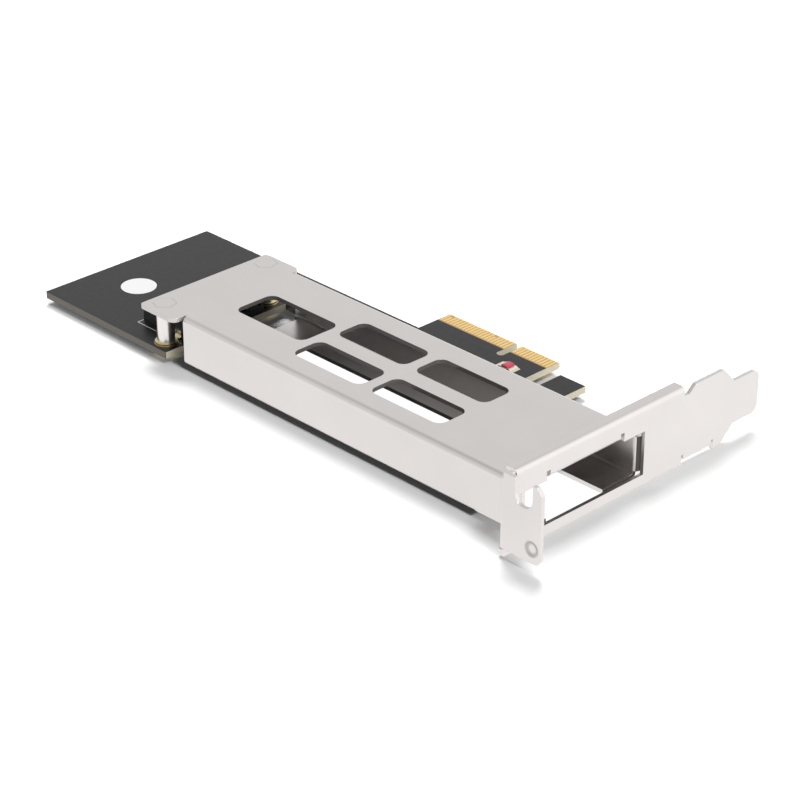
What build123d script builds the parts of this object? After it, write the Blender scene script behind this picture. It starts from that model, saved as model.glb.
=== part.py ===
import os
from build123d import *

os.makedirs("parts", exist_ok=True)

# Tray-frame adapter card, in millimetres.
# X runs along the card towards the slot bracket, Y towards the edge contacts, Z up from
# the component side. While modelling, zero is the contact tab's front outer corner on the
# board's component face. Each finished piece is then moved so that the origin lies under
# the middle of the whole card, on the level of the bracket's lower edge.

# Circuit board
BOARD_THICKNESS = 1.6
BOARD_BESIDE_STANDOFF = 3.6
BOARD_REAR_LENGTH = 44.2
BOARD_BEHIND_CAGE = 4.75
BOARD_CORNER = 0.4
BASE_EDGE = 10.6
STRIP_WIDTH = 13.4
TAB_BEVEL = 0.45

# Edge contacts: 11 before the key and 21 after it, at a pitch of 1 mm
CONTACT_PITCH = 1.0
CONTACT_WIDTH = 0.7
CONTACT_LENGTH = 3.6
CONTACT_SETBACK = 0.5
CONTACT_THICKNESS = 0.05
CONTACT_MARGIN = 0.6
SHORT_CONTACT_CUT = 1.0
CONTACTS_BEFORE_KEY = 11
CONTACTS_AFTER_KEY = 21
SHORT_ON_COMPONENT_SIDE = (17, 31)
SHORT_ON_SOLDER_SIDE = (1,)
KEY_WIDTH = 1.9
KEY_DEPTH = 7.35
KEY_CORNER = 0.85
FRONT_GAP = 4.4
FRONT_GAP_DEPTH = 13.0
FRONT_TAB_LENGTH = 7.45
FRONT_TAB_EDGE = 4.5

# Tray cage, one folded sheet
CAGE_SHEET = 1.0
CAGE_BEND = 0.3
CAGE_WIDTH = 34.6
CAGE_HEIGHT = 11.8
CAGE_LENGTH = 104.2
CAGE_CLEARANCE = 0.3
LEFT_RUNNER_WIDTH = 7.4
RIGHT_RUNNER_WIDTH = 10.2
RUNNER_REAR_CUT = 1.8
PLATE_OVERHANG = 12.4
EAR_SPAN = 38.1
EAR_CORNER = 1.8
EAR_REAR_CORNER = 1.0
EAR_RELIEF = 0.6
FRONT_FLANGE = 3.0
FRONT_FLANGE_RELIEF = 0.5
PUNCH_SHIFT = 0.5
WINDOW_CORNER = 2.2
WINDOW_PITCH = 24.3
WINDOW_LENGTH = 21.4
WINDOW_WIDTH = 8.7
WINDOW_ROW_PITCH = 13.2
WINDOW_FRONT_INSET = 28.95
REAR_WINDOW_LENGTH = 22.3
REAR_WINDOW_WIDTH = 11.5

# Standoffs, pressed into the ears by flush hexagon heads and screwed from below
STANDOFF_HEIGHT = 8.8
STANDOFF_DIAMETER = 4.1
STANDOFF_INSET = 3.6
LEFT_STANDOFF_INSET = 4.35
RIGHT_STANDOFF_INSET = 3.35
STANDOFF_FOOT = 5.2
STANDOFF_FOOT_HEIGHT = 0.5
STANDOFF_HEAD = 4.76
STANDOFF_HEAD_TURN = 45
STANDOFF_HEAD_DEPTH = 0.6
HEAD_CLEARANCE = 0.05
PAD_DIAMETER = 5.4
PAD_THICKNESS = 0.05
SCREW_DIAMETER = 2.4
SCREW_CLEARANCE = 0.2
SCREW_GRIP = 4.0
SCREW_HEAD = 4.6
SCREW_HEAD_HEIGHT = 1.4
SCREW_HEAD_SLOPE = 0.5
SCREW_DRIVE = 2.6
SCREW_DRIVE_SLOT = 0.6
SCREW_DRIVE_DEPTH = 0.7
THREAD_CLEARANCE = 0.02

# Slot bracket, one folded sheet
BRACKET_SHEET = 0.9
BRACKET_BEND = 0.3
BRACKET_WIDTH = 18.42
BRACKET_LENGTH = 79.2
BRACKET_BELOW_BOARD = 1.5
KEY_TO_BRACKET = 57.15
CAGE_TO_BRACKET = 1.0
BRACKET_SIDE = 5.1
FLANGE_DEPTH = 3.0
FLANGE_LEFT_INSET = 4.2
FLANGE_RELIEF = 0.5
FLANGE_END = 24.6
OPENING_LEFT_MARGIN = 2.5
OPENING_RIGHT_MARGIN = 0.2
OPENING_SILL = 0.25
OPENING_DROP = 0.3
LIP_WIDTH = 20.9
LIP_DEPTH = 4.0
LIP_NOTCH_WIDTH = 1.1
LIP_NOTCH_RISE = 0.6
TAIL_TOP_DROP = 0.55
TAIL_NOTCH_WIDTH = 1.6
TAIL_NOTCH_FLARE = 1.9
TAIL_NOTCH_DEPTH = 1.6
TAIL_LOWER_START = 24.7
TAIL_LOWER_RISE = 1.1
TAIL_SLIT = 0.6
TAIL_SLIT_RISE = 1.1
FOOT_CORNER = 0.9
TAIL_SHOULDER = 12.0
TAIL_HEEL = 2.4
TAIL_TAPER = 3.8
TONGUE_WIDTH = 10.19
TONGUE_OFFSET = 0.35
TONGUE_CORNER = 2.0
SCREW_TAB_DEPTH = 11.43
SCREW_TAB_HEIGHT = 17.4
SCREW_TAB_RISE = 2.45
SCREW_TAB_CORNER = 1.8
SCREW_TAB_CHAMFER = 1.4
SCREW_NOTCH_WIDTH = 4.8
SCREW_NOTCH_DEPTH = 5.8
SCREW_NOTCH_REACH = 5.8
DIMPLE_DIAMETER = 3.6
DIMPLE_DEPTH = 0.45
DIMPLE_REACH = 8.15
DIMPLE_RISE = 3.25

# Tray socket, a half-millimetre-pitch card-edge socket that fills the room between the standoffs
SOCKET_TO_STANDOFF = 3.8
SOCKET_DEPTH = 16.0
SOCKET_HEIGHT = 4.2
SOCKET_SETBACK = 0.7
SOCKET_END_WALL = 0.95
SOCKET_SLOT_HEIGHT = 1.1
SOCKET_SLOT_LEVEL = 1.9
SOCKET_SLOT_DEPTH = 5.2
SOCKET_LEAD_IN = 0.4
SOCKET_KEY_WIDTH = 1.2
SOCKET_KEY_FROM_END = 3.875
SOCKET_PITCH = 0.5
SOCKET_ROW_MARGIN = 0.75
SOCKET_STAGGER = 0.25
SOCKET_CONTACT_WIDTH = 0.2
SOCKET_CONTACT_SHEET = 0.15
SOCKET_BEAM_ROOM = 0.6
SOCKET_TAIL = 1.0
HOLD_DOWN_SHEET = 0.3
HOLD_DOWN_HEIGHT = 1.8
HOLD_DOWN_LENGTH = 2.4
HOLD_DOWN_FOOT = 0.6
HOLD_DOWN_SETBACK = 2.3

# Chip parts: length, width and height of the body with its metal ends
END_SHARE = 0.225
END_WRAP = 0.06
CHIP_SOLDER = 0.3
LED_LENGTH = 3.2
LED_WIDTH = 2.6
LED_BASE_HEIGHT = 0.4
LED_SOLDER = 1.1
LED_LENS_HEIGHT = 0.6
LED_LENS_ROUND = 0.35
LED_FROM_TAB_FRONT = 6.4
LED_FROM_TAB_EDGE = 10.2
RESISTOR_LENGTH = 1.6
RESISTOR_WIDTH = 0.8
RESISTOR_HEIGHT = 0.45
RESISTOR_PITCH = 3.0
CAPACITOR_LENGTH = 3.2
CAPACITOR_WIDTH = 1.6
CAPACITOR_HEIGHT = 1.4
CAPACITOR_COUNT = 3
CAPACITOR_PITCH = 3.4
CAPACITOR_BEHIND_STANDOFF = 7.0
CAPACITOR_FROM_EDGE = 4.1

# Round sticker
STICKER_DIAMETER = 8.5
STICKER_THICKNESS = 0.08
STICKER_FROM_REAR = 13.05
STICKER_FROM_LEFT = 17.6

# Levels and edges of the board's contact side that follow from these
board_front = FRONT_GAP + FRONT_TAB_LENGTH
board_under = -BOARD_THICKNESS
strip_inner = -BASE_EDGE - STRIP_WIDTH
short_run = (CONTACTS_BEFORE_KEY - 1) * CONTACT_PITCH + 2 * CONTACT_MARGIN
long_run = (CONTACTS_AFTER_KEY - 1) * CONTACT_PITCH + 2 * CONTACT_MARGIN
key_middle = -short_run - KEY_WIDTH / 2
tab_rear = -short_run - KEY_WIDTH - long_run

# Bracket planes
bracket_back = key_middle + KEY_TO_BRACKET
bracket_face = bracket_back + BRACKET_SHEET
bracket_bottom = board_under - BRACKET_BELOW_BOARD
bracket_top = bracket_bottom + BRACKET_WIDTH
bracket_bend = BRACKET_BEND + BRACKET_SHEET

# Cage planes
cage_front = bracket_back - CAGE_TO_BRACKET
cage_rear = cage_front - CAGE_LENGTH
cage_right = strip_inner - CAGE_CLEARANCE
cage_left = cage_right - CAGE_WIDTH
cage_middle = (cage_left + cage_right) / 2
cage_top = STANDOFF_HEIGHT + PAD_THICKNESS + CAGE_SHEET
cage_bottom = cage_top - CAGE_HEIGHT
cage_bend = CAGE_BEND + CAGE_SHEET
plate_rear = cage_rear - PLATE_OVERHANG
punch_middle = cage_middle - PUNCH_SHIFT
ear_left = punch_middle - EAR_SPAN / 2
ear_right = punch_middle + EAR_SPAN / 2
standoff_x = plate_rear + STANDOFF_INSET
standoff_ys = [ear_left + LEFT_STANDOFF_INSET, ear_right - RIGHT_STANDOFF_INSET]

# The board's rear part, which carries the standoffs and starts behind the cage
board_step = cage_rear - BOARD_BEHIND_CAGE
board_rear = board_step - BOARD_REAR_LENGTH
board_left = standoff_ys[0] - BOARD_BESIDE_STANDOFF

# The bracket's ends, left of the tray's opening and beyond the contacts
opening_left = cage_left - OPENING_LEFT_MARGIN
bracket_left = opening_left - BRACKET_SIDE
tail_end = bracket_left + BRACKET_LENGTH
screw_tab_end = bracket_back + SCREW_TAB_DEPTH

# The origin: under the middle of the card's outline
origin_shift = Location(
    (
        -(board_rear + screw_tab_end) / 2,
        -(bracket_left + tail_end) / 2,
        -bracket_bottom,
    )
)


def block(x, y, z):
    """A box between two values along each axis."""
    middle = [(a + b) / 2 for a, b in (x, y, z)]
    return Pos(*middle) * Box(abs(x[1] - x[0]), abs(y[1] - y[0]), abs(z[1] - z[0]))


def rectangle(x, y):
    """A flat rectangle between two values along each axis."""
    return Pos((x[0] + x[1]) / 2, (y[0] + y[1]) / 2) * Rectangle(abs(x[1] - x[0]), abs(y[1] - y[0]))


def polygon(points):
    """A flat face inside a closed line through the points."""
    return make_face(Polyline(*points, close=True))


def rounded(face, corners, radius):
    """The face with the corners nearest to the given points rounded."""
    chosen = [min(face.vertices(), key=lambda v: (Vector(v) - Vector(*c)).length) for c in corners]
    return fillet(chosen, radius)


def quarter_bend(centre, first, second, length, inner, outer):
    """A sheet's quarter bend, between two directions and extruded along the third."""
    profile = Circle(outer) - Circle(inner)
    profile &= Rectangle(outer, outer, align=(Align.MIN, Align.MIN))
    frame = Plane(origin=centre, x_dir=first, z_dir=Vector(*first).cross(Vector(*second)))
    return extrude(frame * profile, length)


def save(node, shape):
    """Moves a finished piece to the card's origin and writes it."""
    moved = [origin_shift * solid for solid in shape.solids()]
    piece = moved[0] if len(moved) == 1 else Compound(children=moved)
    export_step(piece, f"parts/{node}.step")


def group(pieces):
    """Separate solids that share one node."""
    return Compound(children=[solid for piece in pieces for solid in piece.solids()])


# Circuit board: one outline, then the key, the gap, the bevel and the screw holes
outline = polygon(
    [
        (board_rear, board_left),
        (board_step, board_left),
        (board_step, strip_inner),
        (board_front, strip_inner),
        (board_front, -FRONT_TAB_EDGE),
        (FRONT_GAP, -FRONT_TAB_EDGE),
        (FRONT_GAP, -FRONT_GAP_DEPTH),
        (0, -FRONT_GAP_DEPTH),
        (0, 0),
        (tab_rear, 0),
        (tab_rear, -BASE_EDGE),
        (board_rear, -BASE_EDGE),
    ]
)
rear_corners = [(board_rear, board_left), (board_step, board_left), (board_rear, -BASE_EDGE)]
outline = rounded(outline, rear_corners, BOARD_CORNER)
key_slot = rectangle((key_middle - KEY_WIDTH / 2, key_middle + KEY_WIDTH / 2), (-KEY_DEPTH, KEY_WIDTH))
key_bottom = [(key_middle - KEY_WIDTH / 2, -KEY_DEPTH), (key_middle + KEY_WIDTH / 2, -KEY_DEPTH)]
outline -= rounded(key_slot, key_bottom, KEY_CORNER)
board = extrude(Pos(0, 0, board_under) * outline, BOARD_THICKNESS)
tab_edges = board.edges().filter_by(Axis.X).group_by(Axis.Y)[-1]
board = chamfer(tab_edges, TAB_BEVEL)
screw_hole = SCREW_DIAMETER + 2 * SCREW_CLEARANCE
for standoff_y in standoff_ys:
    board -= Pos(standoff_x, standoff_y, board_under / 2) * Cylinder(screw_hole / 2, 2 * BOARD_THICKNESS)
save("circuit_board", board)


# Edge contacts: flat plated pads on both sides, with the sense contacts cut short
def edge_contacts(level, short_ones):
    """One side's row of pads, counted from the card's front."""
    pads = []
    for count in range(CONTACTS_BEFORE_KEY + CONTACTS_AFTER_KEY):
        run = -CONTACT_MARGIN - count * CONTACT_PITCH
        if count >= CONTACTS_BEFORE_KEY:
            run -= 2 * CONTACT_MARGIN + KEY_WIDTH - CONTACT_PITCH
        outer = -CONTACT_SETBACK - (SHORT_CONTACT_CUT if count + 1 in short_ones else 0)
        inner = -CONTACT_SETBACK - CONTACT_LENGTH
        across = (run - CONTACT_WIDTH / 2, run + CONTACT_WIDTH / 2)
        pads.append(block(across, (inner, outer), (level, level + CONTACT_THICKNESS)))
    return group(pads)


solder_side = board_under - CONTACT_THICKNESS
save("edge_contacts_component_side", edge_contacts(0, SHORT_ON_COMPONENT_SIDE))
save("edge_contacts_solder_side", edge_contacts(solder_side, SHORT_ON_SOLDER_SIDE))

# Tray cage: a folded channel with runners, a rear plate with ears, and punched windows
hollow = CAGE_WIDTH - 2 * CAGE_SHEET
section = RectangleRounded(CAGE_WIDTH, CAGE_HEIGHT, cage_bend)
section -= RectangleRounded(hollow, CAGE_HEIGHT - 2 * CAGE_SHEET, CAGE_BEND)
floor_gap = (LEFT_RUNNER_WIDTH - CAGE_WIDTH / 2, CAGE_WIDTH / 2 - RIGHT_RUNNER_WIDTH)
section -= rectangle(floor_gap, (-CAGE_HEIGHT, cage_bend - CAGE_HEIGHT / 2))
section_plane = Plane(
    origin=(cage_rear, cage_middle, (cage_top + cage_bottom) / 2), x_dir=(0, 1, 0), z_dir=(1, 0, 0)
)
cage = extrude(section_plane * section, CAGE_LENGTH)
cage -= block(
    (cage_rear - CAGE_SHEET, cage_rear + RUNNER_REAR_CUT),
    (cage_left + cage_bend, cage_right - cage_bend),
    (cage_bottom - CAGE_SHEET, cage_bottom + 2 * CAGE_SHEET),
)

# Front flange: the right wall's end, bent outwards against the bracket's back
flange_bend_x = bracket_back - cage_bend
flange_zs = (cage_bottom + cage_bend + FRONT_FLANGE_RELIEF, cage_top - cage_bend - FRONT_FLANGE_RELIEF)
flange_height = flange_zs[1] - flange_zs[0]
wall_ys = (cage_right - 2 * CAGE_SHEET, cage_right + CAGE_SHEET)
cage -= block((flange_bend_x, bracket_back), wall_ys, flange_zs)
front_bend = (flange_bend_x, cage_right + CAGE_BEND, flange_zs[1])
cage += quarter_bend(front_bend, (1, 0, 0), (0, -1, 0), flange_height, CAGE_BEND, cage_bend)
flange_ys = (cage_right + CAGE_BEND, cage_right + FRONT_FLANGE)
cage += block((bracket_back - CAGE_SHEET, bracket_back), flange_ys, flange_zs)

# Rear plate with the ears that carry the standoffs
ear_front = cage_rear - EAR_RELIEF
ear_plate = rectangle((plate_rear, ear_front), (ear_left, ear_right))
ear_plate = rounded(ear_plate, [(ear_front, ear_left), (ear_front, ear_right)], EAR_CORNER)
ear_plate = rounded(ear_plate, [(plate_rear, ear_left), (plate_rear, ear_right)], EAR_REAR_CORNER)
neck = rectangle((ear_front - EAR_CORNER, cage_rear), (cage_left + cage_bend, cage_right - cage_bend))
rear_plate = extrude(Pos(0, 0, cage_top - CAGE_SHEET) * (ear_plate + neck), CAGE_SHEET)
cage += rear_plate

window_front_x = cage_front - WINDOW_FRONT_INSET - WINDOW_LENGTH / 2
windows = []
for column in range(2):
    for side in (-1, 1):
        place = (window_front_x - column * WINDOW_PITCH, punch_middle + side * WINDOW_ROW_PITCH / 2)
        windows.append(Pos(*place) * RectangleRounded(WINDOW_LENGTH, WINDOW_WIDTH, WINDOW_CORNER))
rear_window = RectangleRounded(REAR_WINDOW_LENGTH, REAR_WINDOW_WIDTH, WINDOW_CORNER)
windows.append(Pos(window_front_x - 2 * WINDOW_PITCH, punch_middle) * rear_window)
for window in windows:
    cage -= extrude(Pos(0, 0, cage_top - 2 * CAGE_SHEET) * window, 3 * CAGE_SHEET)



def hexagon(across_flats):
    """The standoff head's outline, turned as it is pressed in."""
    return RegularPolygon(across_flats / 2, 6, major_radius=False, rotation=STANDOFF_HEAD_TURN)


head_bottom = cage_top - STANDOFF_HEAD_DEPTH
head_pocket = hexagon(STANDOFF_HEAD + 2 * HEAD_CLEARANCE)
shank_hole = STANDOFF_DIAMETER / 2 + HEAD_CLEARANCE
for standoff_y in standoff_ys:
    cage -= extrude(Pos(standoff_x, standoff_y, head_bottom) * head_pocket, CAGE_SHEET)
    cage -= Pos(standoff_x, standoff_y, cage_top) * Cylinder(shank_hole, 4 * CAGE_SHEET)
save("tray_cage", cage)

# Standoffs: a footed shank on the board and a flush head in the ear, bored for the screw
thread_hole = SCREW_DIAMETER / 2 + THREAD_CLEARANCE
foot_top = PAD_THICKNESS + STANDOFF_FOOT_HEIGHT
standoff_profile = polygon(
    [
        (thread_hole, PAD_THICKNESS),
        (STANDOFF_FOOT / 2, PAD_THICKNESS),
        (STANDOFF_FOOT / 2, foot_top),
        (STANDOFF_DIAMETER / 2, foot_top),
        (STANDOFF_DIAMETER / 2, head_bottom),
        (0, head_bottom),
        (0, SCREW_GRIP + THREAD_CLEARANCE),
        (thread_hole, SCREW_GRIP + THREAD_CLEARANCE),
    ]
)
standoff = revolve(Plane.XZ * standoff_profile, Axis.Z)
standoff += extrude(Pos(0, 0, head_bottom) * hexagon(STANDOFF_HEAD), STANDOFF_HEAD_DEPTH)

# Screws: a low pan head under the board, with a cross drive
screw_seat = board_under - PAD_THICKNESS
screw_end = screw_seat - SCREW_HEAD_HEIGHT
screw_profile = polygon(
    [
        (0, screw_end),
        (SCREW_HEAD / 2 - SCREW_HEAD_SLOPE, screw_end),
        (SCREW_HEAD / 2, screw_end + SCREW_HEAD_SLOPE),
        (SCREW_HEAD / 2, screw_seat),
        (SCREW_DIAMETER / 2, screw_seat),
        (SCREW_DIAMETER / 2, SCREW_GRIP),
        (0, SCREW_GRIP),
    ]
)
screw = revolve(Plane.XZ * screw_profile, Axis.Z)
for length, width in ((SCREW_DRIVE, SCREW_DRIVE_SLOT), (SCREW_DRIVE_SLOT, SCREW_DRIVE)):
    screw -= Pos(0, 0, screw_end) * Box(length, width, 2 * SCREW_DRIVE_DEPTH)

pad_ring = Circle(PAD_DIAMETER / 2) - Circle(screw_hole / 2)
pads = []
for side, standoff_y in zip(("left", "right"), standoff_ys):
    save(f"{side}_standoff", Pos(standoff_x, standoff_y) * standoff)
    save(f"{side}_standoff_screw", Pos(standoff_x, standoff_y) * screw)
    for level in (0, screw_seat):
        pads.append(extrude(Pos(standoff_x, standoff_y, level) * pad_ring, PAD_THICKNESS))
save("standoff_pads", group(pads))

# Slot bracket face: the outline with its tail, drawn as seen from the front
flange_left = bracket_left + FLANGE_LEFT_INSET
flange_right = tail_end - FLANGE_END
lower_step = tail_end - TAIL_LOWER_START
face_left = bracket_left + bracket_bend
tail_top = bracket_top - TAIL_TOP_DROP
tail_lower = bracket_bottom + TAIL_LOWER_RISE
shoulder = tail_end - TAIL_SHOULDER
tongue_middle = (bracket_top + bracket_bottom) / 2 - TONGUE_OFFSET
tongue_top = tongue_middle + TONGUE_WIDTH / 2
tongue_bottom = tongue_middle - TONGUE_WIDTH / 2
taper_end = shoulder + TAIL_TAPER
notch_left = flange_right
notch_right = notch_left + TAIL_NOTCH_WIDTH
notch_bottom = tail_top - TAIL_NOTCH_DEPTH
heel_left = shoulder - TAIL_HEEL
tab_bottom = bracket_bottom + SCREW_TAB_RISE
foot_left = bracket_left + BRACKET_BEND
foot_top = tab_bottom - FLANGE_RELIEF
face = polygon(
    [
        (foot_left, bracket_bottom),
        (lower_step, bracket_bottom),
        (lower_step, tail_lower + TAIL_SLIT_RISE),
        (lower_step + TAIL_SLIT, tail_lower + TAIL_SLIT_RISE),
        (lower_step + TAIL_SLIT, tail_lower),
        (heel_left - TAIL_SLIT, tail_lower),
        (heel_left - TAIL_SLIT, tail_lower + TAIL_SLIT_RISE),
        (heel_left, tail_lower + TAIL_SLIT_RISE),
        (heel_left, bracket_bottom),
        (shoulder, bracket_bottom),
        (taper_end, tongue_bottom),
        (tail_end, tongue_bottom),
        (tail_end, tongue_top),
        (taper_end, tongue_top),
        (shoulder, tail_top),
        (notch_right + TAIL_NOTCH_FLARE, tail_top),
        (notch_right, notch_bottom),
        (notch_left, notch_bottom),
        (notch_left, bracket_top - bracket_bend),
        (flange_left - FLANGE_RELIEF, bracket_top - bracket_bend),
        (flange_left - FLANGE_RELIEF, bracket_top),
        (face_left, bracket_top),
        (face_left, foot_top),
        (foot_left, foot_top),
    ]
)
tongue_corners = [(tail_end, tongue_bottom), (tail_end, tongue_top)]
face = rounded(face, tongue_corners, TONGUE_CORNER)
face = rounded(face, [(notch_right, notch_bottom), (notch_left, notch_bottom)], TAIL_SLIT / 2)
face = rounded(face, [(foot_left, bracket_bottom), (lower_step, bracket_bottom)], FOOT_CORNER)

# The opening for the tray, with the lip's relief notches above it
opening_right = cage_right + OPENING_RIGHT_MARGIN
sill = cage_bottom + CAGE_SHEET + OPENING_SILL
opening_top = cage_top - OPENING_DROP
lip_left = punch_middle - LIP_WIDTH / 2
lip_right = punch_middle + LIP_WIDTH / 2
lip_notch_left = lip_left - LIP_NOTCH_WIDTH
lip_notch_right = lip_right + LIP_NOTCH_WIDTH
face -= rectangle((opening_left, opening_right), (sill, opening_top))
face -= rectangle((lip_left, lip_right), (sill, cage_top + bracket_bend))
for notch in ((lip_notch_left, lip_left), (lip_right, lip_notch_right)):
    face -= rectangle(notch, (sill, cage_top + bracket_bend + LIP_NOTCH_RISE))
face_plane = Plane(origin=(bracket_back, 0, 0), x_dir=(0, 1, 0), z_dir=(1, 0, 0))
bracket = extrude(face_plane * face, BRACKET_SHEET)

# The fold along the top edge, and the lip that lies on the cage's top plate
bend_x = bracket_face - bracket_bend
flange_x = (bracket_face - FLANGE_DEPTH, bend_x)
flange_bend = (bend_x, flange_right, bracket_top - bracket_bend)
flange_length = flange_right - flange_left
bracket += quarter_bend(flange_bend, (1, 0, 0), (0, 0, 1), flange_length, BRACKET_BEND, bracket_bend)
bracket += block(flange_x, (flange_left, flange_right), (bracket_top - BRACKET_SHEET, bracket_top))
lip_x = (bracket_face - LIP_DEPTH, bend_x)
lip_bend = (bend_x, lip_left, cage_top + bracket_bend)
bracket += quarter_bend(lip_bend, (1, 0, 0), (0, 0, -1), LIP_WIDTH, BRACKET_BEND, bracket_bend)
bracket += block(lip_x, (lip_left, lip_right), (cage_top, cage_top + BRACKET_SHEET))

# Screw tab: bent forward, with a notch open upwards and a pressed dimple
tab_top = tab_bottom + SCREW_TAB_HEIGHT
tab_start = bracket_face + BRACKET_BEND
tab_bend = (tab_start, face_left, tab_bottom)
tab_bend_height = bracket_top - tab_bottom
bracket += quarter_bend(tab_bend, (-1, 0, 0), (0, -1, 0), tab_bend_height, BRACKET_BEND, bracket_bend)
screw_tab = rectangle((tab_start, screw_tab_end), (tab_bottom, tab_top))
screw_tab = chamfer(screw_tab.vertices().sort_by_distance((screw_tab_end, tab_top))[0], SCREW_TAB_CHAMFER)
screw_tab = rounded(screw_tab, [(screw_tab_end, tab_bottom)], SCREW_TAB_CORNER)
notch_x = bracket_face + SCREW_NOTCH_REACH
notch_end = tab_top - SCREW_NOTCH_DEPTH + SCREW_NOTCH_WIDTH / 2
notch_sides = (notch_x - SCREW_NOTCH_WIDTH / 2, notch_x + SCREW_NOTCH_WIDTH / 2)
screw_tab -= Pos(notch_x, notch_end) * Circle(SCREW_NOTCH_WIDTH / 2)
screw_tab -= rectangle(notch_sides, (notch_end, tab_top + SCREW_NOTCH_WIDTH))
tab_plane = Plane(origin=(0, bracket_left + BRACKET_SHEET, 0), x_dir=(1, 0, 0), z_dir=(0, -1, 0))
bracket += extrude(tab_plane * screw_tab, BRACKET_SHEET)
dimple_ball = ((DIMPLE_DIAMETER / 2) ** 2 + DIMPLE_DEPTH**2) / (2 * DIMPLE_DEPTH)
dimple_y = bracket_left + DIMPLE_DEPTH - dimple_ball
bracket -= Pos(bracket_face + DIMPLE_REACH, dimple_y, tab_bottom + DIMPLE_RISE) * Sphere(dimple_ball)
save("slot_bracket", bracket)

# Tray socket housing: a moulded block with a keyed slot and room for the contact beams
socket_front = board_step - SOCKET_SETBACK
socket_rear = socket_front - SOCKET_DEPTH
slot_rear = socket_front - SOCKET_SLOT_DEPTH
slot_bottom = SOCKET_SLOT_LEVEL
slot_top = SOCKET_SLOT_LEVEL + SOCKET_SLOT_HEIGHT
socket_ys = (standoff_ys[0] + SOCKET_TO_STANDOFF, standoff_ys[1] - SOCKET_TO_STANDOFF)
slot_ys = (socket_ys[0] + SOCKET_END_WALL, socket_ys[1] - SOCKET_END_WALL)
slot_middle = sum(slot_ys) / 2
slot_width = slot_ys[1] - slot_ys[0]
socket_positions = round((slot_width - 2 * SOCKET_ROW_MARGIN) / SOCKET_PITCH)
key_y = slot_ys[1] - SOCKET_KEY_FROM_END
key_ys = (key_y - SOCKET_KEY_WIDTH / 2, key_y + SOCKET_KEY_WIDTH / 2)
beam_top = slot_top + SOCKET_BEAM_ROOM
beam_bottom = slot_bottom - SOCKET_BEAM_ROOM
housing = block((socket_rear, socket_front), socket_ys, (0, SOCKET_HEIGHT))
top_edges = housing.edges().filter_by(Axis.Y).sort_by(Axis.Z)[-2:]
housing = chamfer(top_edges, SOCKET_LEAD_IN)
mouth = polygon(
    [
        (slot_rear, slot_bottom),
        (socket_front - SOCKET_LEAD_IN, slot_bottom),
        (socket_front, slot_bottom - SOCKET_LEAD_IN),
        (socket_front, slot_top + SOCKET_LEAD_IN),
        (socket_front - SOCKET_LEAD_IN, slot_top),
        (slot_rear, slot_top),
    ]
)
beam_front = socket_front - 2 * SOCKET_LEAD_IN
upper_room = block((slot_rear, beam_front), slot_ys, (slot_top, beam_top))
lower_room = block((slot_rear, beam_front), slot_ys, (beam_bottom, slot_bottom))
mouth_plane = Plane(origin=(0, slot_ys[0], 0), x_dir=(1, 0, 0), z_dir=(0, -1, 0))
slot_space = extrude(mouth_plane * mouth, -slot_width) + upper_room + lower_room
slot_space -= block((socket_rear, socket_front), key_ys, (0, SOCKET_HEIGHT))
housing -= slot_space


# Socket contacts: a soldered tail, a riser behind the housing and a sprung beam in the slot
def contact_row(beam_level, bow, stagger):
    """One row of bent strips; the beam bows towards the card that goes in."""
    sheet = SOCKET_CONTACT_SHEET
    riser = socket_rear - sheet / 2
    tip = beam_front - SOCKET_LEAD_IN
    turn = slot_rear + SOCKET_LEAD_IN
    line = Polyline(
        (riser - SOCKET_TAIL, sheet / 2),
        (riser, sheet / 2),
        (riser, beam_level),
        (turn, beam_level),
        (tip, beam_level + bow),
    )
    strip = extrude(Plane.XZ * trace(line, sheet), SOCKET_CONTACT_WIDTH / 2, both=True)
    row = []
    for count in range(socket_positions):
        along = slot_middle + (count - socket_positions / 2 + stagger) * SOCKET_PITCH
        if abs(along - key_y) > SOCKET_KEY_WIDTH / 2 + SOCKET_CONTACT_WIDTH:
            row.append(Pos(0, along, 0) * strip)
    return group(row)


upper_level = beam_top - SOCKET_CONTACT_SHEET / 2
lower_level = beam_bottom + SOCKET_CONTACT_SHEET / 2
for level in (upper_level, lower_level):
    entry = (level - SOCKET_CONTACT_SHEET / 2, level + SOCKET_CONTACT_SHEET / 2)
    housing -= block((socket_rear, slot_rear), slot_ys, entry)
save("tray_socket_housing", housing)
save("socket_upper_contacts", contact_row(upper_level, -SOCKET_BEAM_ROOM, SOCKET_STAGGER))
save("socket_lower_contacts", contact_row(lower_level, SOCKET_BEAM_ROOM, 1 - SOCKET_STAGGER))

# Socket hold-downs: bent tabs against the housing's ends, soldered by their feet
hold_down_profile = polygon(
    [
        (0, 0),
        (HOLD_DOWN_SHEET + HOLD_DOWN_FOOT, 0),
        (HOLD_DOWN_SHEET + HOLD_DOWN_FOOT, HOLD_DOWN_SHEET),
        (HOLD_DOWN_SHEET, HOLD_DOWN_SHEET),
        (HOLD_DOWN_SHEET, HOLD_DOWN_HEIGHT),
        (0, HOLD_DOWN_HEIGHT),
    ]
)
hold_down_x = socket_front - HOLD_DOWN_SETBACK - HOLD_DOWN_LENGTH
for side, side_y, outward in (("left", socket_ys[0], -1), ("right", socket_ys[1], 1)):
    start = (hold_down_x, side_y, 0)
    hold_down_plane = Plane(origin=start, x_dir=(0, outward, 0), z_dir=(outward, 0, 0))
    reach = HOLD_DOWN_LENGTH * outward
    save(f"{side}_socket_hold_down", extrude(hold_down_plane * hold_down_profile, reach))


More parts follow.
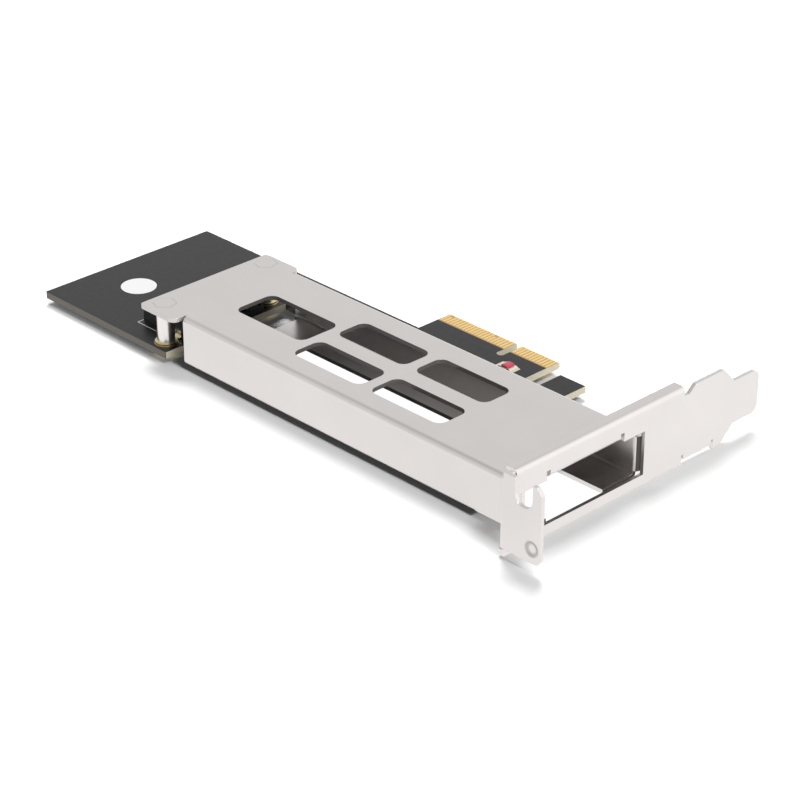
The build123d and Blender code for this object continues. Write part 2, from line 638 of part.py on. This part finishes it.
# Chip parts: a body between two metal ends, with a sloping fillet of solder at each end
def chip(length, width, height, solder):
    """The body and the pair of soldered ends of a chip part lying along X on the board."""
    end = length * END_SHARE
    inner = length / 2 - end
    half = width / 2 - END_WRAP
    body = block((-inner, inner), (-half, half), (0, height - END_WRAP))
    profile = polygon(
        [
            (inner, 0),
            (length / 2 + solder, 0),
            (length / 2 + solder / 3, height / 3),
            (length / 2, height),
            (inner, height),
        ]
    )
    end_piece = extrude(Plane.XZ * profile, width / 2, both=True)
    return body, [end_piece, mirror(end_piece, Plane.YZ)]


led_place = Pos(-LED_FROM_TAB_FRONT, -LED_FROM_TAB_EDGE)
led_base, led_ends = chip(LED_LENGTH, LED_WIDTH, LED_BASE_HEIGHT, LED_SOLDER)
lens_bottom = LED_BASE_HEIGHT - END_WRAP
lens_length = LED_LENGTH * (1 - 2 * END_SHARE)
lens = block(
    (-lens_length / 2, lens_length / 2),
    (-LED_WIDTH / 2 + END_WRAP, LED_WIDTH / 2 - END_WRAP),
    (lens_bottom, lens_bottom + LED_LENS_HEIGHT),
)
lens = fillet(lens.faces().sort_by(Axis.Z)[-1].edges(), LED_LENS_ROUND)
save("status_led_base", led_place * led_base)
save("status_led_lens", led_place * lens)
save("status_led_ends", group([led_place * end for end in led_ends]))

resistor_place = Pos(-LED_FROM_TAB_FRONT, -LED_FROM_TAB_EDGE - RESISTOR_PITCH)
resistor_body, resistor_ends = chip(RESISTOR_LENGTH, RESISTOR_WIDTH, RESISTOR_HEIGHT, CHIP_SOLDER)
save("led_resistor_body", resistor_place * resistor_body)
save("led_resistor_ends", group([resistor_place * end for end in resistor_ends]))

# Supply capacitors: a row between the right standoff and the board's right edge
capacitor_bodies = []
capacitor_ends = []
capacitor_x = standoff_x - CAPACITOR_BEHIND_STANDOFF
for count in range(CAPACITOR_COUNT):
    place = Pos(capacitor_x, -BASE_EDGE - CAPACITOR_FROM_EDGE - count * CAPACITOR_PITCH)
    body, ends = chip(CAPACITOR_LENGTH, CAPACITOR_WIDTH, CAPACITOR_HEIGHT, CHIP_SOLDER)
    capacitor_bodies.append(place * body)
    capacitor_ends.extend(place * end for end in ends)
save("supply_capacitor_bodies", group(capacitor_bodies))
save("supply_capacitor_ends", group(capacitor_ends))

# Round sticker on the board's rear part
sticker_place = Pos(board_rear + STICKER_FROM_REAR, board_left + STICKER_FROM_LEFT, 0)
save("round_sticker", extrude(sticker_place * Circle(STICKER_DIAMETER / 2), STICKER_THICKNESS))
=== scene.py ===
import math

import bpy
import numpy as np
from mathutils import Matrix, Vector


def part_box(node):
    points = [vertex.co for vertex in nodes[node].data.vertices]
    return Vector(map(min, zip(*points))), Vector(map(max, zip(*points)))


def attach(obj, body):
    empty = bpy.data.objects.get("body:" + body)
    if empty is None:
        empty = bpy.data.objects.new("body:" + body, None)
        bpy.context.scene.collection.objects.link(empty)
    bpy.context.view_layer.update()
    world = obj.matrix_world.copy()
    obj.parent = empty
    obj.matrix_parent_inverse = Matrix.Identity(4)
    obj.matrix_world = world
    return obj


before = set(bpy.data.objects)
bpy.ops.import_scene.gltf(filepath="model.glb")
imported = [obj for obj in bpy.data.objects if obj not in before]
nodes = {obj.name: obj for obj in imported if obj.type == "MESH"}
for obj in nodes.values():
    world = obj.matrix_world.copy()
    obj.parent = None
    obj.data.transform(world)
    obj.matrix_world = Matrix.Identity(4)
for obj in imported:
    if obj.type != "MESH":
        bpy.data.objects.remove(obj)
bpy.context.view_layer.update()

# Circuit board
# A glass-epoxy laminate, routed to its outline and coated with black solder mask on both faces.
# Its cut edges, the bevel of the contact tab and the strip under the contacts are left bare, and the
# cut edges facing -Y are painted darker as shade.


def linear(hex_colour):
    """Linear red, green, blue and alpha of an sRGB hex colour: a straight foot, then a power of 2.4."""
    srgb = np.array([int(hex_colour[i : i + 2], 16) for i in (1, 3, 5)]) / 255
    red, green, blue = np.where(srgb <= 0.04045, srgb / 12.92, ((srgb + 0.055) / 1.055) ** 2.4)
    return float(red), float(green), float(blue), 1.0


def add_node(tree, kind, inputs=None, **properties):
    """Adds one shader node; an input is either a plain value or another node's output."""
    made = tree.nodes.new("ShaderNode" + kind)
    for name, value in properties.items():
        setattr(made, name, value)
    for name, value in (inputs or {}).items():
        if isinstance(value, bpy.types.NodeSocket):
            tree.links.new(value, made.inputs[name])
        else:
            made.inputs[name].default_value = value
    return made


def start_material(name, **values):
    """A new material, with constant values set on the sockets of its Principled shader."""
    material = bpy.data.materials.new(name)
    material.use_nodes = True
    shader = material.node_tree.nodes["Principled BSDF"]
    for socket, value in values.items():
        shader.inputs[socket.replace("_", " ")].default_value = value
    return material


def dress(material, *names):
    """Puts one material on the named CAD nodes."""
    for name in names:
        nodes[name].data.materials.clear()
        nodes[name].data.materials.append(material)


millimetre = 0.001
contacts_low, contacts_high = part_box("edge_contacts_component_side")
board_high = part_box("circuit_board")[1]
mask_clearance = 0.35 * millimetre
mask_front_clearance = 1.0 * millimetre
mask_grain = 1.5 * millimetre
mask_roughness = {"To Min": 0.36, "To Max": 0.46}

# A face counts as flat, or as a side with painted shade, by the share of its normal along Z or Y.
flat_share = 0.9
shaded_side_share = -0.5

# A colour mix node is wired by number, because its plain values have the same names as its colours.
colour_a = 6
colour_b = 7
mixed = 2

# Satin solder mask over glass epoxy: the mask is nearly black and picks up a broad soft sheen,
# the bare laminate is amber on its faces and dull straw where it was cut, and the cut edges facing
# -Y are painted darker as shade.
solder_mask = start_material("solder_mask_on_glass_epoxy", IOR=1.38)
tree = solder_mask.node_tree
shader = tree.nodes["Principled BSDF"]
place = add_node(tree, "TexCoord")
facing = add_node(tree, "SeparateXYZ", {"Vector": place.outputs["Normal"]})
level = add_node(tree, "Math", {0: facing.outputs["Z"]}, operation="ABSOLUTE")
flat = add_node(tree, "Math", {0: level.outputs[0], 1: flat_share}, operation="GREATER_THAN")
where = add_node(tree, "SeparateXYZ", {"Vector": place.outputs["Object"]})
inside = add_node(
    tree, "Math", {0: where.outputs["Y"], 1: contacts_low.y - mask_clearance}, operation="LESS_THAN"
)
ahead = add_node(
    tree,
    "Math",
    {0: where.outputs["X"], 1: contacts_high.x + mask_front_clearance},
    operation="GREATER_THAN",
)
outside_window = add_node(tree, "Math", {0: inside.outputs[0], 1: ahead.outputs[0]}, operation="MAXIMUM")
masked = add_node(tree, "Math", {0: flat.outputs[0], 1: outside_window.outputs[0]}, operation="MULTIPLY")
grain = add_node(
    tree, "TexNoise", {"Vector": place.outputs["Object"], "Scale": 1 / mask_grain, "Detail": 3.0}
)
# Painted shade: cut edges facing -Y get a darker laminate colour.
painted_side_shade = add_node(tree, "Math", {0: facing.outputs["Y"], 1: shaded_side_share}, operation="LESS_THAN")
laminate = add_node(
    tree,
    "Mix",
    {"Factor": painted_side_shade.outputs[0], colour_a: linear("#B9B39F"), colour_b: linear("#565249")},
    data_type="RGBA",
)
bare = add_node(
    tree,
    "Mix",
    {"Factor": flat.outputs[0], colour_a: laminate.outputs[mixed], colour_b: linear("#AE8A58")},
    data_type="RGBA",
)
coat = add_node(
    tree,
    "Mix",
    {"Factor": masked.outputs[0], colour_a: bare.outputs[mixed], colour_b: linear("#0F0D0E")},
    data_type="RGBA",
)
tree.links.new(coat.outputs[mixed], shader.inputs["Base Color"])
gloss = add_node(tree, "MapRange", {"Value": grain.outputs[0], **mask_roughness})
tree.links.new(gloss.outputs[0], shader.inputs["Roughness"])
dress(solder_mask, "circuit_board")

# Edge contacts
# Copper pads in a row along both faces of the tab, plated with nickel and hard gold.
# The plating is smooth and bright, so it shows the room as a warm yellow.
gold_plate = start_material(
    "hard_gold_plate", Base_Color=linear("#EFD08B"), Metallic=1.0, Roughness=0.3
)
dress(gold_plate, "edge_contacts_component_side", "edge_contacts_solder_side")

# Silk-screened outline
# Where the socket's outline shows beside its left end: a fine line of white epoxy ink, printed on
# the solder mask through a screen. The ink dries dull and a little grey.
ink_width = 0.18 * millimetre
ink_height = 0.02 * millimetre
ink_from_side = 2.0 * millimetre
ink_from_rear = 0.2 * millimetre
ink_stop = 0.3 * millimetre
socket_low, socket_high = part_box("tray_socket_housing")


def printed_line(name, start, end, material):
    """A flat bar of ink on the board: the rectangle of the ink's width around a straight line."""
    start, end = np.array(start), np.array(end)
    along = (end - start) / np.linalg.norm(end - start)
    across = np.array([-along[1], along[0]]) * ink_width / 2
    outline = np.array([start - across, end - across, end + across, start + across])
    low = np.column_stack([outline, np.full(4, board_high.z)])
    high = np.column_stack([outline, np.full(4, board_high.z + ink_height)])
    faces = [(3, 2, 1, 0), (4, 5, 6, 7), (0, 1, 5, 4), (1, 2, 6, 5), (2, 3, 7, 6), (3, 0, 4, 7)]
    mesh = bpy.data.meshes.new(name)
    mesh.from_pydata(np.vstack([low, high]).tolist(), [], faces)
    mesh.materials.append(material)
    line = bpy.data.objects.new(name, mesh)
    bpy.context.scene.collection.objects.link(line)
    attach(line, "root")


white_ink = start_material("white_epoxy_ink", Base_Color=linear("#C9C8C4"), Roughness=0.6)
ink_corner = (socket_low.x + ink_from_rear, socket_low.y - ink_from_side)
ink_front = (socket_high.x, ink_corner[1])
ink_inner = (ink_corner[0], socket_low.y - ink_stop)
printed_line("socket_outline_side", ink_corner, ink_front, white_ink)
printed_line("socket_outline_rear", ink_corner, ink_inner, white_ink)

# Standoffs and screws
# Turned from free-cutting steel and nickel-plated; the standoffs are pressed into the cage's ears
# and the screws hold them from under the board. The gold of the pads tints the parts that touch it,
# and the press rubs the heads to the tone of the plate.
cage_low, cage_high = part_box("tray_cage")
plate_sheet = 1.0 * millimetre
solder_climb = 0.6 * millimetre
turned_nickel = start_material("turned_nickel_plate", Metallic=1.0, Roughness=0.28)
tree = turned_nickel.node_tree
shader = tree.nodes["Principled BSDF"]
place = add_node(tree, "TexCoord")
where = add_node(tree, "SeparateXYZ", {"Vector": place.outputs["Object"]})
wetted = add_node(
    tree, "Math", {0: where.outputs["Z"], 1: board_high.z + solder_climb}, operation="LESS_THAN"
)
plating = add_node(
    tree,
    "Mix",
    {"Factor": wetted.outputs[0], colour_a: linear("#DAD6D4"), colour_b: linear("#D6C99E")},
    data_type="RGBA",
)
pressed = add_node(
    tree, "Math", {0: where.outputs["Z"], 1: cage_high.z - plate_sheet / 2}, operation="GREATER_THAN"
)
rubbed = add_node(
    tree,
    "Mix",
    {"Factor": pressed.outputs[0], colour_a: plating.outputs[mixed], colour_b: linear("#CCC8C6")},
    data_type="RGBA",
)
tree.links.new(rubbed.outputs[mixed], shader.inputs["Base Color"])
dress(turned_nickel, "left_standoff", "right_standoff", "left_standoff_screw", "right_standoff_screw")
flash_gold = start_material(
    "flash_gold_pad", Base_Color=linear("#D9CCA4"), Metallic=1.0, Roughness=0.35
)
dress(flash_gold, "standoff_pads")

# Tray cage and slot bracket
# Cold-rolled steel sheet, nickel-plated, then punched and folded. The plating keeps the rolling
# grain of the sheet, so reflections are soft and spread a little along the length. The grain is
# drawn coarser than the real one, so that it shows.
bracket_low, bracket_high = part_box("slot_bracket")
ear_reach = 2.25 * millimetre
ear_length = 8 * millimetre
front_flange = 3.0 * millimetre
front_bend = 1.3 * millimetre
front_slack = 0.02 * millimetre
wall_left = cage_low.y + ear_reach
wall_right = cage_high.y - front_flange
window_margin = 3 * millimetre
dimple_inset = 2.38 * millimetre
dimple_height = 5.7 * millimetre
dimple_rim = 1.4 * millimetre
edge_break = 0.12 * millimetre
rolling_grain = 0.25 * millimetre
grain_along = (0.08, 1.0, 1.0)
sheet_cloud = 12 * millimetre
rolled_roughness = {"To Min": 0.25, "To Max": 0.37}
sheared_roughness = 0.6
sheet_nickel = start_material("plated_steel_sheet", Metallic=1.0)
tree = sheet_nickel.node_tree
shader = tree.nodes["Principled BSDF"]
place = add_node(tree, "TexCoord")
drawn_out = add_node(tree, "Mapping", {"Vector": place.outputs["Object"], "Scale": grain_along})
grain = add_node(
    tree, "TexNoise", {"Vector": drawn_out.outputs[0], "Scale": 1 / rolling_grain, "Detail": 2.0}
)
cloud = add_node(
    tree, "TexNoise", {"Vector": place.outputs["Object"], "Scale": 1 / sheet_cloud, "Detail": 2.0}
)
tone = add_node(
    tree,
    "Mix",
    {"Factor": cloud.outputs[0], colour_a: linear("#CAC6C4"), colour_b: linear("#D1CDCB")},
    data_type="RGBA",
)
rolled = add_node(tree, "MapRange", {"Value": grain.outputs[0], **rolled_roughness})

# Punching shears the edges of the cage's plate dull; round the windows those cut edges are painted dark as
# shade.
upright_share = 0.2
where = add_node(tree, "SeparateXYZ", {"Vector": place.outputs["Object"]})
facing = add_node(tree, "SeparateXYZ", {"Vector": place.outputs["Normal"]})
level = add_node(tree, "Math", {0: facing.outputs["Z"]}, operation="ABSOLUTE")
upright = add_node(tree, "Math", {0: level.outputs[0], 1: upright_share}, operation="LESS_THAN")
in_plate = add_node(
    tree,
    "Math",
    {0: where.outputs["Z"], 1: cage_high.z - plate_sheet / 2, 2: plate_sheet / 2},
    operation="COMPARE",
)
behind_bracket = add_node(
    tree, "Math", {0: where.outputs["X"], 1: cage_high.x - plate_sheet}, operation="LESS_THAN"
)
in_cage = add_node(
    tree, "Math", {0: in_plate.outputs[0], 1: behind_bracket.outputs[0]}, operation="MULTIPLY"
)
sheared = add_node(tree, "Math", {0: upright.outputs[0], 1: in_cage.outputs[0]}, operation="MULTIPLY")
between_walls = add_node(
    tree,
    "Math",
    {
        0: where.outputs["Y"],
        1: (wall_left + wall_right) / 2,
        2: (wall_right - wall_left) / 2 - window_margin,
    },
    operation="COMPARE",
)
past_ears = add_node(
    tree, "Math", {0: where.outputs["X"], 1: cage_low.x + ear_length}, operation="GREATER_THAN"
)
among_windows = add_node(
    tree, "Math", {0: between_walls.outputs[0], 1: past_ears.outputs[0]}, operation="MULTIPLY"
)
painted_rim_shade = add_node(tree, "Math", {0: sheared.outputs[0], 1: among_windows.outputs[0]}, operation="MULTIPLY")
# Painted shade: the cut edges round the windows are coloured dark.
steel = add_node(
    tree,
    "Mix",
    {"Factor": painted_rim_shade.outputs[0], colour_a: tone.outputs[mixed], colour_b: linear("#7C7775")},
    data_type="RGBA",
)

# A grey ring painted round the screw tab's dimple stands for the shade of its recess, softest away from
# the rim.
from_dimple = add_node(
    tree,
    "VectorMath",
    {
        0: place.outputs["Object"],
        1: (bracket_high.x - dimple_inset, bracket_low.y, dimple_height),
    },
    operation="DISTANCE",
)
off_rim = add_node(tree, "Math", {0: from_dimple.outputs["Value"], 1: dimple_rim}, operation="SUBTRACT")
rim_gap = add_node(tree, "Math", {0: off_rim.outputs[0]}, operation="ABSOLUTE")
rim_ends = {"From Min": 0.0, "From Max": dimple_rim / 2, "To Min": 1.0, "To Max": 0.0}
painted_dimple_shade = add_node(
    tree, "MapRange", {"Value": rim_gap.outputs[0], **rim_ends}, interpolation_type="SMOOTHSTEP"
)
# Painted shade: the dimple's ring is mixed into the sheet's colour.
with_dimple_shade = add_node(
    tree,
    "Mix",
    {"Factor": painted_dimple_shade.outputs[0], colour_a: steel.outputs[mixed], colour_b: linear("#A39F9D")},
    data_type="RGBA",
)

# Painted shade: the right wall's front end, where it is bent round, and the runners' cut front ends
# are coloured dark as shade. Only faces turned well to the front are meant.
front_share = 0.62
at_front = add_node(
    tree,
    "Math",
    {0: where.outputs["X"], 1: cage_high.x - front_bend / 2, 2: front_bend / 2 + front_slack},
    operation="COMPARE",
)
at_right = add_node(
    tree,
    "Math",
    {0: where.outputs["Y"], 1: wall_right - front_bend / 4, 2: front_bend * 3 / 4},
    operation="COMPARE",
)
turned_out = add_node(tree, "Math", {0: facing.outputs["X"], 1: front_share}, operation="GREATER_THAN")
on_runner = add_node(
    tree, "Math", {0: where.outputs["Z"], 1: cage_low.z + plate_sheet}, operation="LESS_THAN"
)
low_or_right = add_node(
    tree, "Math", {0: at_right.outputs[0], 1: on_runner.outputs[0]}, operation="MAXIMUM"
)
in_corner = add_node(
    tree, "Math", {0: at_front.outputs[0], 1: low_or_right.outputs[0]}, operation="MULTIPLY"
)
painted_corner_shade = add_node(tree, "Math", {0: in_corner.outputs[0], 1: turned_out.outputs[0]}, operation="MULTIPLY")
# Painted shade: the dark corner colour is mixed into the sheet's colour here.
with_corner_shade = add_node(
    tree,
    "Mix",
    {"Factor": painted_corner_shade.outputs[0], colour_a: with_dimple_shade.outputs[mixed], colour_b: linear("#4A4644")},
    data_type="RGBA",
)
tree.links.new(with_corner_shade.outputs[mixed], shader.inputs["Base Color"])
gloss = add_node(
    tree, "Mix", {"Factor": sheared.outputs[0], "A": rolled.outputs[0], "B": sheared_roughness}
)
tree.links.new(gloss.outputs[0], shader.inputs["Roughness"])
broken_edge = add_node(tree, "Bevel", {"Radius": edge_break}, samples=6)
tree.links.new(broken_edge.outputs[0], shader.inputs["Normal"])
dress(sheet_nickel, "tray_cage", "slot_bracket")

# Tray socket
# A black nylon moulding with two rows of gold-plated spring contacts, held to the board by tinned
# tabs. The nylon comes out of its mould satin, and the solder on the tabs is bright.
black_nylon = start_material(
    "moulded_black_nylon", Base_Color=linear("#141314"), Roughness=0.5, IOR=1.53
)
dress(black_nylon, "tray_socket_housing")
dress(gold_plate, "socket_upper_contacts", "socket_lower_contacts")
bright_tin = start_material(
    "bright_tin_solder", Base_Color=linear("#D9D3C2"), Metallic=1.0, Roughness=0.25
)
dress(bright_tin, "left_socket_hold_down", "right_socket_hold_down")

# Chip parts
# Fired ceramic bodies, soldered to the board by tinned ends. The status light has a glossy red
# epoxy lens on a white base, the resistor a black glaze, and the capacitors show their tan body.
dress(bright_tin, "status_led_ends", "led_resistor_ends", "supply_capacitor_ends")
red_lens = start_material(
    "red_epoxy_lens", Base_Color=linear("#B4304A"), Roughness=0.2, IOR=1.5
)
dress(red_lens, "status_led_lens")
white_ceramic = start_material("white_ceramic", Base_Color=linear("#E9E6DD"), Roughness=0.5)
dress(white_ceramic, "status_led_base")
black_glaze = start_material("black_resistor_glaze", Base_Color=linear("#1C1B1B"), Roughness=0.35)
dress(black_glaze, "led_resistor_body")
tan_ceramic = start_material("fired_tan_ceramic", Base_Color=linear("#8F7457"), Roughness=0.45)
dress(tan_ceramic, "supply_capacitor_bodies")

# Round sticker
# A die-cut dot of white label paper, left blank and stuck to the solder mask.
# The paper is matt, so it looks the same white from every side.
label_paper = start_material("matt_label_paper", Base_Color=linear("#DAD9D9"), Roughness=0.7)
dress(label_paper, "round_sticker")

# Floor
# A pale sheet that the object lies on, much larger than the view. Polished metal sees an evenly lit
# copy of it and two dark cards in and under the cage, and a white card that glows for the camera
# alone paints light over the shaded ground under the cage.


def lay_card(name, x, y, height, material):
    """A flat rectangular card at one height, between two values along each axis."""
    mesh = bpy.data.meshes.new(name)
    corners = [(x[0], y[0], height), (x[1], y[0], height), (x[1], y[1], height), (x[0], y[1], height)]
    mesh.from_pydata(corners, [], [(0, 1, 2, 3)])
    mesh.materials.append(material)
    card = bpy.data.objects.new(name, mesh)
    bpy.context.scene.collection.objects.link(card)
    return card


def show_only_to(card, *rays):
    """Limits which kinds of ray meet a card."""
    for kind in ("camera", "diffuse", "glossy", "transmission", "shadow"):
        setattr(card, "visible_" + kind, kind in rays)


def glowing(name, x, brightness):
    """A material that glows, its brightness going evenly from one value to another along X."""
    material = start_material(name, Base_Color=linear("#000000"), Emission_Color=(1, 1, 1, 1))
    tree = material.node_tree
    place = add_node(tree, "TexCoord")
    where = add_node(tree, "SeparateXYZ", {"Vector": place.outputs["Object"]})
    ends = {"From Min": x[0], "From Max": x[1], "To Min": brightness[0], "To Max": brightness[1]}
    glow = add_node(tree, "MapRange", {"Value": where.outputs["X"], **ends})
    tree.links.new(glow.outputs[0], tree.nodes["Principled BSDF"].inputs["Emission Strength"])
    return material


floor_half = 3.0
whole = (-floor_half, floor_half)
pale_card = start_material("pale_card", Base_Color=linear("#BCBCBC"), Roughness=0.9)
floor = lay_card("floor", whole, whole, 0.0, pale_card)
floor.visible_glossy = False
lit_span = (60 * millimetre, 85 * millimetre)
lit_card = glowing("lit_white_card", lit_span, (1.2, 1.3))
show_only_to(lay_card("floor_reflected", whole, whole, 0.0, lit_card), "glossy")

# The two dark cards: one on the ground under the cage, one close under its plate.
lit_front = 15 * millimetre
shade_height = 0.2 * millimetre
black_card = start_material("black_card", Base_Color=linear("#101010"), Roughness=1.0)
under_x = (socket_high.x, cage_high.x - lit_front)
under_y = (wall_left, wall_right)
show_only_to(lay_card("cage_shade", under_x, under_y, shade_height, black_card), "diffuse", "glossy")
lid_front = 24 * millimetre
lid_dark_end = -34 * millimetre
lid_gap = 0.3 * millimetre
lid_height = cage_high.z - plate_sheet - lid_gap
dim_card = glowing("dim_card", (lid_dark_end, lid_front), (0.0, 0.4))
show_only_to(lay_card("window_shade", (socket_high.x, lid_front), under_y, lid_height, dim_card), "glossy")

# Painted light: a card glowing white for the camera alone hides the shade on the ground between the
# runners, and reaches a little under the socket and the far one.
runner_left = 7.4 * millimetre
runner_right = 10.2 * millimetre
sight_under = 3.0 * millimetre
ground_height = 0.3 * millimetre
glow_over_shade_card = start_material(
    "painted_light_white_card", Base_Color=linear("#000000"), Emission_Color=(1, 1, 1, 1), Emission_Strength=1.02
)
clear_x = (socket_high.x - sight_under, cage_high.x)
clear_y = (wall_left + runner_left, wall_right - runner_right + sight_under)
show_only_to(lay_card("painted_light_cage_ground", clear_x, clear_y, ground_height, glow_over_shade_card), "camera")

# Lights
# A room that is brightest towards the bracket's far side and dim overhead, a high lamp on the
# bracket's side, and a broad lamp behind the object that lights the floor alone.


def hang_lamp(name, energy, spread, tilt, turn):
    """A far lamp shining down, leaned over about Y and then swung about Z, with angles in degrees."""
    data = bpy.data.lights.new(name, "SUN")
    data.energy = energy
    data.angle = math.radians(spread)
    lamp = bpy.data.objects.new(name, data)
    lamp.rotation_euler = (0.0, math.radians(tilt), math.radians(turn))
    bpy.context.scene.collection.objects.link(lamp)
    return lamp


scene = bpy.context.scene
scene.view_settings.view_transform = "Standard"
world = bpy.data.worlds.new("bright_room")
scene.world = world
world.use_nodes = True
tree = world.node_tree
overhead_ends = {"From Min": 0.6, "From Max": 0.9, "To Min": 1.0, "To Max": 0.5}
side_ends = {"From Min": -0.8, "From Max": -0.1, "To Min": 1.55, "To Max": 1.01}
rear_left = (-0.7071, -0.7071, 0.0)
direction = add_node(tree, "TexCoord")
height = add_node(tree, "SeparateXYZ", {"Vector": direction.outputs["Generated"]})
room = add_node(tree, "MapRange", {"Value": height.outputs["Z"], **overhead_ends})
away_from_front = add_node(
    tree, "VectorMath", {0: direction.outputs["Generated"], 1: rear_left}, operation="DOT_PRODUCT"
)
side = add_node(tree, "MapRange", {"Value": away_from_front.outputs["Value"], **side_ends})
strength = add_node(tree, "Math", {0: room.outputs[0], 1: side.outputs[0]}, operation="MULTIPLY")
background = tree.nodes["Background"]
tree.links.new(strength.outputs[0], background.inputs["Strength"])
background.inputs["Color"].default_value = (1.0, 1.0, 1.0, 1.0)
hang_lamp("high_lamp", energy=1.7, spread=14, tilt=30, turn=-5)
floor_lamp = hang_lamp("floor_lamp", energy=4.4, spread=25, tilt=-30, turn=-44)
lit_floor = bpy.data.collections.new("lit_floor")
lit_floor.objects.link(floor)
floor_lamp.light_linking.receiver_collection = lit_floor

# Camera
# Where the photograph was taken from: the front left, a little above, with a long lens.
# Its place is in metres, and its lens and sensor in millimetres as on a camera.
camera_azimuth = math.radians(45.93)
camera_elevation = math.radians(27.97)
camera_place = (0.38195, -0.36712, 0.27469)
focal_length = 119.72
sensor_width = 36.0
camera_data = bpy.data.cameras.new("camera")
camera_data.sensor_width = sensor_width
camera_data.lens = focal_length
camera = bpy.data.objects.new("camera", camera_data)
camera.location = camera_place
camera.rotation_euler = (math.pi / 2 - camera_elevation, 0.0, camera_azimuth)
scene.collection.objects.link(camera)
scene.camera = camera
